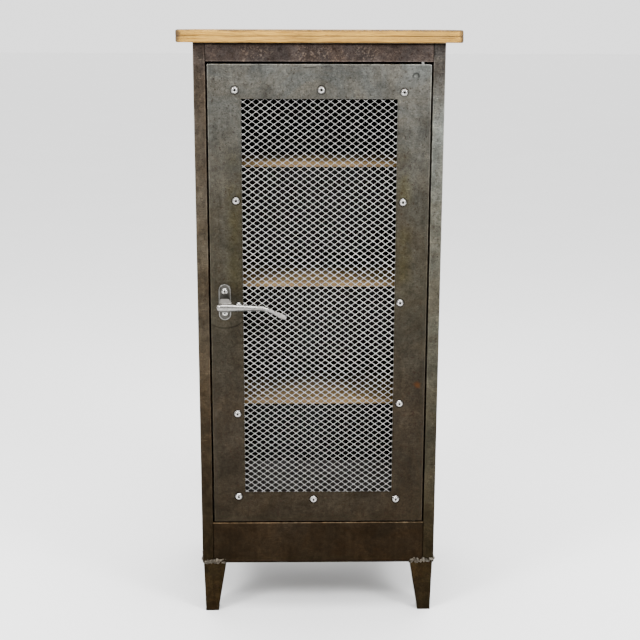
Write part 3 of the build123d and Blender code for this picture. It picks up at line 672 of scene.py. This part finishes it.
def sharp_by_angle(piece, degrees=38):
    """Keeps smooth shading only over edges that bend less than this."""
    piece.data.set_sharp_from_angle(angle=math.radians(degrees))


# ---- expanded mesh: slit and pulled sheet, its strands tilted forward at their lower edges ----
cell_half_width = 8.84 * MM
cell_half_height = 6.485 * MM
knuckle_half_length = 0.8 * MM
knuckle_half_height = 0.55 * MM
corner_inset = 1.25 * MM
strand_thickness = 0.6 * MM
strand_tilt = 0.22 * MM
lattice_shift = (-3.7 * MM, -1.0 * MM)
lattice_turn = 0.006
strand_bow = 0.5175      # share of the way out where a strand's middle stands; 0.5 is straight


def expanded_mesh():
    """The door's mesh at its full pitch: a lattice of diamonds, each cell with its own rim."""
    low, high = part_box("door_mesh")
    centre_x = (low.x + high.x) / 2 + lattice_shift[0]
    centre_z = (low.z + high.z) / 2 + lattice_shift[1]
    mid_y = (low.y + high.y) / 2
    a, b = cell_half_width, cell_half_height
    hole_x, hole_z = a - corner_inset, b - knuckle_half_height
    rim = [(a, 0), (a / 2, b / 2), (0, b), (-a / 2, b / 2),
           (-a, 0), (-a / 2, -b / 2), (0, -b), (a / 2, -b / 2)]
    side = ((hole_x + knuckle_half_length) * strand_bow, hole_z * strand_bow)
    hole = [(hole_x, 0), side, (0, hole_z), (-side[0], side[1]),
            (-hole_x, 0), (-side[0], -side[1]), (0, -hole_z), (side[0], -side[1])]
    shape = []
    for layer in (-1, 1):
        depth = layer * strand_thickness / 2
        shape += [(x, depth, z) for x, z in rim]
        shape += [(x, depth - strand_tilt * z / hole_z, z) for x, z in hole]
    count = len(rim)
    quads = []
    for i in range(count):
        j = (i + 1) % count
        front_rim, front_hole, back_rim, back_hole = (0, count, 2 * count, 3 * count)
        quads.append((front_rim + i, front_rim + j, front_hole + j, front_hole + i))
        quads.append((back_rim + j, back_rim + i, back_hole + i, back_hole + j))
        quads.append((front_hole + i, front_hole + j, back_hole + j, back_hole + i))
    points, faces = [], []
    columns = int((high.x - low.x) / 2 / a) - 1
    rows = int((high.z - low.z) / 2 / b) - 1
    for row in range(-rows, rows + 1):
        for column in range(-columns, columns + 1):
            if (row + column) % 2:
                continue
            start = len(points)
            x0 = centre_x + column * a
            z0 = centre_z + row * b + (x0 - centre_x) * lattice_turn
            points += [(x0 + x, mid_y + y, z0 + z) for x, y, z in shape]
            faces += [tuple(start + k for k in quad) for quad in quads]
    piece = new_piece("expanded_mesh", points, faces, strand, "door", "mesh_steel", smooth=False)
    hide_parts("door_mesh")


expanded_mesh()


# ---- screws ----
screw_sides = 36
thread_pitch = 1.25 * MM


def turned(profile, sides, centre):
    """A shape turned about an axis that points out of the front, through centre = (x, y, z).
    The profile's rows are (radius, metres in front of centre, 1 for a hexagon or 0)."""
    points = []
    for radius, rise, hexagon in profile:
        for i in range(sides):
            angle = 2 * math.pi * i / sides
            off_flat = angle % (math.pi / 3) - math.pi / 6
            reach = radius / math.cos(off_flat) if hexagon else radius
            points.append((centre[0] + reach * math.cos(angle), centre[1] - rise,
                           centre[2] + reach * math.sin(angle)))
    return points, tube_faces(len(profile), sides, turned_over=True)


def screw_profile(head, height, shank, length, socket):
    """A domed head on a flat rim, over a threaded shank. The last two rows are the bottom of
    its hexagon socket."""
    rows = [(shank * 0.8, -length, 0), (shank, -length + shank * 0.2, 0)]
    for turn in range(int(length / thread_pitch) - 1):
        depth = -length + 1.0 * MM + turn * thread_pitch
        rows += [(shank, depth, 0), (shank * 0.88, depth + 0.55 * MM, 0)]
    rows += [(shank, -0.2 * MM, 0), (head * 0.97, -0.02 * MM, 0), (head, height * 0.08, 0),
             (head, height * 0.20, 0), (head * 0.93, height * 0.30, 0)]
    dome_steps = 8
    for step in range(1, dome_steps):
        angle = math.pi / 2 * step / dome_steps
        rows.append((socket + (head * 0.90 - socket) * math.cos(angle),
                     height * (0.30 + 0.70 * math.sin(angle)), 0))
    rows += [(socket * 1.12, height, 0), (socket * 0.98, height * 0.97, 1),
             (socket * 0.95, height * 0.25, 1), (socket * 0.5, height * 0.20, 0)]
    return rows


def screws(name, node, slot, head, height, shank, socket, gap):
    """Turned zinc screws at the places of a CAD node's own, which stand more than gap apart."""
    parts = []
    for low, high in clusters(node, gap):
        centre = ((low.x + high.x) / 2, low.y + height, (low.z + high.z) / 2)
        profile = screw_profile(head, height, shank, high.y - centre[1], socket)
        parts.append(turned(profile, screw_sides, centre))
    piece = new_piece(name, *joined(parts), zinc, "door", slot)
    piece.data.materials.append(socket_shade)
    each = len(parts[0][1])                  # the faces of one screw; its two caps come last
    socket_wall = each - 2 - 2 * screw_sides
    for face in piece.data.polygons:
        place = face.index % each
        if place == each - 1 or socket_wall <= place < each - 2:
            face.material_index = 1
    sharp_by_angle(piece)
    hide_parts(node)


screws("dome_screws", "mesh_screws", "zinc", 7.25 * MM, 4.2 * MM, 4.0 * MM, 2.6 * MM, screw_gap)
screws("plate_screws", "handle_plate_screws", "worn_nickel", 6.3 * MM, 3.4 * MM, 3.0 * MM,
       1.8 * MM, 25 * MM)


# ---- handle ----
def obround(centre_x, centre_z, half_width, half_length, inset, steps=20):
    """An upright slot outline, as (x, z) points."""
    radius = half_width - inset
    straight = half_length - half_width
    outline = []
    for end, first in ((1, 0.0), (-1, math.pi)):
        for i in range(steps + 1):
            angle = first + math.pi * i / steps
            outline.append((centre_x + radius * math.cos(angle),
                            centre_z + end * straight + radius * math.sin(angle)))
    return outline


# from the plate's back face to its recess: mm in from the outline, mm of rise
plate_profile = [(0.0, 0.0), (0.0, 1.5), (0.35, 2.35), (1.0, 2.9), (1.7, 3.0), (2.3, 2.8),
                 (2.8, 2.2), (3.3, 2.0), (3.9, 2.0)]


def make_plate():
    """The handle's plate: a pressed obround with a raised, rounded rim."""
    half_width, half_length = (plate_high.x - plate_low.x) / 2, (plate_high.z - plate_low.z) / 2
    points = []
    for inset, rise in plate_profile:
        ring = obround(handle_x, handle_z, half_width, half_length, inset * MM)
        points += [(x, plate_high.y - rise * MM, z) for x, z in ring]
    faces = tube_faces(len(plate_profile), len(ring), turned_over=True)
    piece = new_piece("rimmed_plate", points, faces, plate_nickel, "door", "worn_nickel")
    sharp_by_angle(piece, 50)
    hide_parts("handle_plate")


make_plate()


def fuse(piece, voxel, smooth_turns, factor=0.5):
    """Joins overlapping shells into one skin and rounds where they meet."""
    remesh = piece.modifiers.new("fuse", "REMESH")
    remesh.mode = "VOXEL"
    remesh.voxel_size = voxel
    soften = piece.modifiers.new("soften", "SMOOTH")
    soften.factor = factor
    soften.iterations = smooth_turns
    bpy.context.view_layer.update()
    graph = bpy.context.evaluated_depsgraph_get()
    done = bpy.data.meshes.new_from_object(piece.evaluated_get(graph))
    piece.modifiers.clear()
    piece.data = done
    done.shade_smooth()


def rounded_section(half_u, half_v, squareness, count=28):
    """A closed outline between an ellipse (2) and a rectangle (large numbers)."""
    outline = []
    for i in range(count):
        angle = 2 * math.pi * i / count
        c, w = math.cos(angle), math.sin(angle)
        outline.append((half_u * math.copysign(abs(c) ** (2 / squareness), c),
                        half_v * math.copysign(abs(w) ** (2 / squareness), w)))
    return outline


def lofted(sections):
    """Points and faces through a row of outlines that all have the same number of points."""
    points = [point for section in sections for point in section]
    return points, tube_faces(len(sections), len(sections[0]))


# along the arm: mm from the spindle, mm above its axis, half height, half depth, squareness
arm_stations = [
    (-13.6, -2.4, 3.6, 3.4, 2.0), (-12.4, -2.3, 5.8, 5.4, 2.1), (-9.0, -2.1, 7.8, 7.4, 2.3),
    (-3.0, -2.0, 8.6, 8.3, 2.5), (6.0, -2.0, 8.6, 8.3, 2.5), (16.0, -2.0, 8.0, 7.9, 2.4),
    (29.0, -2.1, 7.1, 7.2, 2.2), (44.0, -2.3, 6.5, 6.7, 2.1), (62.0, -2.7, 5.8, 6.2, 2.0),
    (80.0, -3.7, 5.0, 5.4, 2.0), (91.0, -6.5, 4.4, 4.8, 2.1), (100.0, -10.4, 3.9, 4.2, 2.3),
    (107.0, -14.2, 4.2, 3.8, 2.8), (114.5, -18.0, 4.9, 3.4, 3.4), (121.0, -21.2, 5.0, 3.0, 3.4),
    (126.0, -23.2, 4.3, 2.6, 2.8), (128.2, -24.1, 2.9, 1.7, 2.4),
]
hub_half_depth = 8.5 * MM
# from the plate to the arm: share of the way, mm from the spindle, half width, half height
neck_stations = [(0.0, 0.0, 10.3, 7.7), (0.12, 0.3, 10.3, 7.6), (0.45, 2.0, 12.0, 7.6),
                 (0.75, 3.9, 13.7, 7.6), (0.92, 5.0, 14.7, 7.4)]


neck_squareness = 5.0


def make_lever():
    """A cast lever: a squared neck that flows into a hub and an arm with a drooping paddle."""
    low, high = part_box("lever_handle")
    arm_y = low.y + hub_half_depth
    depthwise = Vector((0, 1, 0))
    centres = [Vector((handle_x + off * MM, arm_y, handle_z + rise * MM))
               for off, rise, *_ in arm_stations]
    arm = []
    for i, (_, _, half_height, half_depth, squareness) in enumerate(arm_stations):
        along = (centres[min(i + 1, len(centres) - 1)] - centres[max(i - 1, 0)]).normalized()
        across = along.cross(depthwise).normalized()
        outline = rounded_section(half_depth * MM, half_height * MM, squareness)
        arm.append([centres[i] + depthwise * u + across * v for u, v in outline])
    neck = []
    for share, off, half_width, half_height in neck_stations:
        y = high.y + (arm_y - high.y) * share
        outline = rounded_section(half_width * MM, half_height * MM, neck_squareness)
        neck.append([Vector((handle_x + off * MM + u, y, handle_z + v)) for u, v in outline])
    piece = new_piece("cast_lever", *joined([lofted(arm), lofted(neck)]), nickel, "handle",
                      "worn_nickel")
    fuse(piece, 0.8 * MM, 4)
    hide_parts("lever_handle")


make_lever()


# ---- weld beads at the tops of the legs ----
# Weld metal: its pale specks stand partly for glints, as painted highlights.
weld_metal = patina_and_painted_light("weld_metal", [(0.0, (0.046, 0.039, 0.032)), (1.0, (0.052, 0.044, 0.037))],
                    blotch=0.6, brown=0.4, speckle=0.5, specks_and_glints=0.6, rough=(0.18, 0.4),
                    shift=27.0)


def weld_lumps(cloud, start, end, outward, count):
    """Overlapping lumps along a line, half sunk in the face they lie on."""
    for i in range(count):
        place = start.lerp(end, (i + random.uniform(-0.3, 0.3)) / (count - 1))
        radius = random.uniform(2.0, 4.1) * MM
        place += outward * random.uniform(-1.6, 0.3) * MM
        place.z += random.uniform(-4.0, 4.5) * MM
        squash = Matrix.LocRotScale(place, None, (random.uniform(0.8, 1.3),
                                                  random.uniform(0.8, 1.2), 1.0))
        cloud.append((squash, radius))


lump_rings, lump_sides = 7, 12
lump_unevenness = 0.25


def lump_mesh(cloud):
    """One mesh of small uneven balls."""
    parts = []
    for squash, radius in cloud:
        sections = []
        for ring in range(lump_rings):
            tilt = math.pi * (ring + 0.5) / lump_rings
            section = []
            for i in range(lump_sides):
                turn = 2 * math.pi * i / lump_sides
                point = Vector((math.sin(tilt) * math.cos(turn),
                                math.sin(tilt) * math.sin(turn), math.cos(tilt)))
                bulge = noise.noise(point * 1.7 + squash.translation * 900)
                section.append(squash @ (point * radius * (1 + lump_unevenness * bulge)))
            sections.append(section)
        parts.append(lofted(sections))
    return joined(parts)


def make_welds():
    """Beads along each leg's top, on the body's front or back face and on its side."""
    cloud = []
    for leg in ("front_left_leg", "front_right_leg", "rear_left_leg", "rear_right_leg"):
        low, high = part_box(leg)
        side = math.copysign(1.0, low.x)
        face_x = stile_low.x if side < 0 else -stile_low.x
        face_y = stile_low.y if low.y < 0 else back_high.y
        facing = Vector((0, math.copysign(1.0, face_y), 0))
        z = high.z + 3.5 * MM
        weld_lumps(cloud, Vector((low.x + 2 * MM, face_y, z)),
                   Vector((high.x - 2 * MM, face_y, z)), facing, 26)
        weld_lumps(cloud, Vector((face_x, low.y + 3 * MM, z)),
                   Vector((face_x, high.y - 3 * MM, z)), Vector((side, 0, 0)), 24)
    piece = new_piece("weld_beads", *lump_mesh(cloud), weld_metal, "cabinet", "weld")
    fuse(piece, 0.9 * MM, 1)
    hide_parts("leg_weld_beads")


make_welds()


# ---- the two layers of the wooden top, with dented and rounded edges ----
board_corner = 7 * MM
outline_spacing = 5 * MM
corner_steps = 7
edge_steps = 4
dent_depth, dent_scale = 0.7 * MM, 38.0
chip_depth, chip_scale = 1.8 * MM, 120.0
waviness, wave_scale = 0.25 * MM, 60.0


def plan_outline(low, high, corner, spacing):
    """A rectangle with round corners, as (x, y, outward x, outward y) points."""
    outline = []
    corners = [(high.x - corner, high.y - corner, 0), (low.x + corner, high.y - corner, 1),
               (low.x + corner, low.y + corner, 2), (high.x - corner, low.y + corner, 3)]
    for k, (cx, cy, quarter) in enumerate(corners):
        for i in range(corner_steps + 1):
            angle = math.pi / 2 * (quarter + i / corner_steps)
            ux, uy = math.cos(angle), math.sin(angle)
            outline.append((cx + corner * ux, cy + corner * uy, ux, uy))
        nx, ny, _ = corners[(k + 1) % 4]
        ux, uy = math.cos(angle), math.sin(angle)
        start = Vector((cx + corner * ux, cy + corner * uy))
        end = Vector((nx + corner * ux, ny + corner * uy))
        steps = int((end - start).length / spacing)
        for i in range(1, steps):
            point = start.lerp(end, i / steps)
            outline.append((point.x, point.y, ux, uy))
    return outline


def worn_board(name, node, under_radius, over_radius):
    """A board whose edges are rounded, dented and chipped a little by use."""
    low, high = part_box(node)
    quarter = [math.pi / 2 * i / edge_steps for i in range(edge_steps + 1)]
    profile = [(under_radius * (1 - math.sin(angle)), low.z + under_radius * (1 - math.cos(angle)))
               for angle in quarter]
    profile += [(over_radius * (1 - math.cos(angle)), high.z - over_radius * (1 - math.sin(angle)))
                for angle in quarter]
    outline = plan_outline(low, high, board_corner, outline_spacing)
    rows = len(profile)
    points = []
    for row, (inset, z) in enumerate(profile):
        for x, y, ux, uy in outline:
            place = Vector((x, y, z))
            dent = 0.5 + 0.5 * noise.noise(place * dent_scale)
            chip = max(0.0, noise.noise(place * chip_scale + Vector((7, 3, 1))) - 0.15)
            cut = inset + dent_depth * dent + chip_depth * chip
            flat = row in (0, rows - 1)
            lift = 0.0 if flat else waviness * noise.noise(place * wave_scale)
            points.append((x - ux * cut, y - uy * cut, z + lift))
    piece = new_piece(name, points, tube_faces(rows, len(outline)), top_wood, "cabinet",
                      "top_wood")
    sharp_by_angle(piece, 45)
    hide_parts(node)


worn_board("board_upper", "top_board_upper", 1.1 * MM, 3.2 * MM)
worn_board("board_lower", "top_board_lower", 3.2 * MM, 1.1 * MM)


# ---- floor, background and light ----
floor_half = 60.0
front_sky, back_sky = 0.7, 5.5
horizon_share = 0.37


def pale_floor():
    """A wide pale floor, which isn't part of the object."""
    g = Graph("pale_floor")
    tone = g.mix(g.noise(1.3, 3.0), (0.90, 0.90, 0.90), (0.94, 0.94, 0.94))
    data = bpy.data.meshes.new("floor")
    corners = [(-floor_half, -floor_half, 0.0), (floor_half, -floor_half, 0.0),
               (floor_half, floor_half, 0.0), (-floor_half, floor_half, 0.0)]
    data.from_pydata(corners, [], [(0, 1, 2, 3)])
    data.materials.append(g.finish(tone, 0.9, 0.0))
    piece = bpy.data.objects.new("floor", data)
    bpy.context.scene.collection.objects.link(piece)


def make_world():
    """A plain studio: bright behind and above the object, dimmer in front and low down."""
    world = bpy.data.worlds.new("studio")
    bpy.context.scene.world = world
    world.use_nodes = True
    tree = world.node_tree
    way = tree.nodes.new("ShaderNodeSeparateXYZ")
    tree.links.new(tree.nodes.new("ShaderNodeTexCoord").outputs["Generated"], way.inputs[0])
    strength = tree.nodes.new("ShaderNodeMath")
    strength.operation = "MULTIPLY"
    fades = (("Y", 0.0, 0.8, front_sky, back_sky), ("Z", 0.02, 0.35, horizon_share, 1.0))
    for factor, (axis, *limits) in zip(strength.inputs, fades):
        fade = tree.nodes.new("ShaderNodeMapRange")
        fade.interpolation_type = "SMOOTHSTEP"
        tree.links.new(way.outputs[axis], fade.inputs[0])
        for socket, value in zip(tuple(fade.inputs)[1:5], limits):
            socket.default_value = value
        tree.links.new(fade.outputs[0], factor)
    background = tree.nodes["Background"]
    tree.links.new(strength.outputs[0], background.inputs["Strength"])
    background.inputs["Color"].default_value = (1.0, 1.0, 1.0, 1.0)


pale_floor()
make_world()


def soft_light(name, place, target, width, height, power):
    """A rectangular soft box that faces its target."""
    data = bpy.data.lights.new(name, "AREA")
    data.shape = "RECTANGLE"
    data.size = width
    data.size_y = height
    data.energy = power
    lamp = bpy.data.objects.new(name, data)
    lamp.location = place
    aim = Vector(target) - Vector(place)
    lamp.rotation_euler = aim.to_track_quat("-Z", "Y").to_euler()
    bpy.context.scene.collection.objects.link(lamp)


soft_light("left_box", (-2.3, -2.3, 2.7), (0, 0, 0.7), 0.9, 1.2, 140)
soft_light("right_box", (2.3, -2.3, 2.6), (0, 0, 0.7), 0.9, 1.2, 125)
soft_light("front_strip", (0.0, -2.7, 3.1), (0, 0, 0.7), 1.6, 0.4, 15)
soft_light("overhead", (0.1, -0.7, 3.5), (0, 0, 0.6), 2.4, 2.0, 170)
